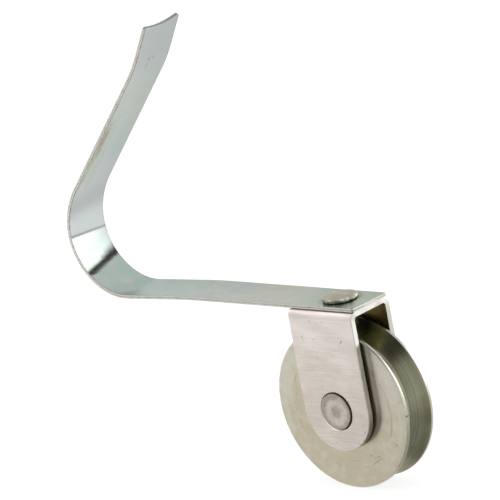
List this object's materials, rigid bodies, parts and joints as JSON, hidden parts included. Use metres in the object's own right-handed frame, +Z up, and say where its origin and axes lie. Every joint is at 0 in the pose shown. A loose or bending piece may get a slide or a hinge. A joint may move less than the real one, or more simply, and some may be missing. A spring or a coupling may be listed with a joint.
{
  "type": "v-groove roller",
  "caption": "Sliding screen-door roller: a V-groove steel wheel in a folded fork, riveted under a bent flat-spring arm that presses it onto its track.",
  "frame": {"origin": "middle of the wheel, on the axle's axis", "axes": "+Z up from the track through the fork, +Y along the axle, the spring arm reaches towards -X"},
  "size_m": [0.0942, 0.014, 0.108],
  "materials": {
    "zinc_spring_strip": "smooth semi-gloss zinc plating on spring strip",
    "zinc_folded_sheet": "satin zinc-plated sheet with fine lines along the strip",
    "rivet_steel": "plain headed rivet, slightly dull",
    "axle_steel": "spun pin end with ring marks",
    "turned_wheel_steel": "turned steel with faint ring marks"
  },
  "bodies": {
    "fork": {"spring_arm": "zinc_spring_strip", "clevis": "zinc_folded_sheet", "arm_rivet": "rivet_steel", "axle": "axle_steel"},
    "roller": {"wheel": "turned_wheel_steel"}
  },
  "joints": [
    {"name": "wheel_spin", "type": "hinge", "parent": "fork", "child": "roller", "pos_m": [0, 0, 0], "axis": [0, 1, 0], "continuous": true}
  ]
}
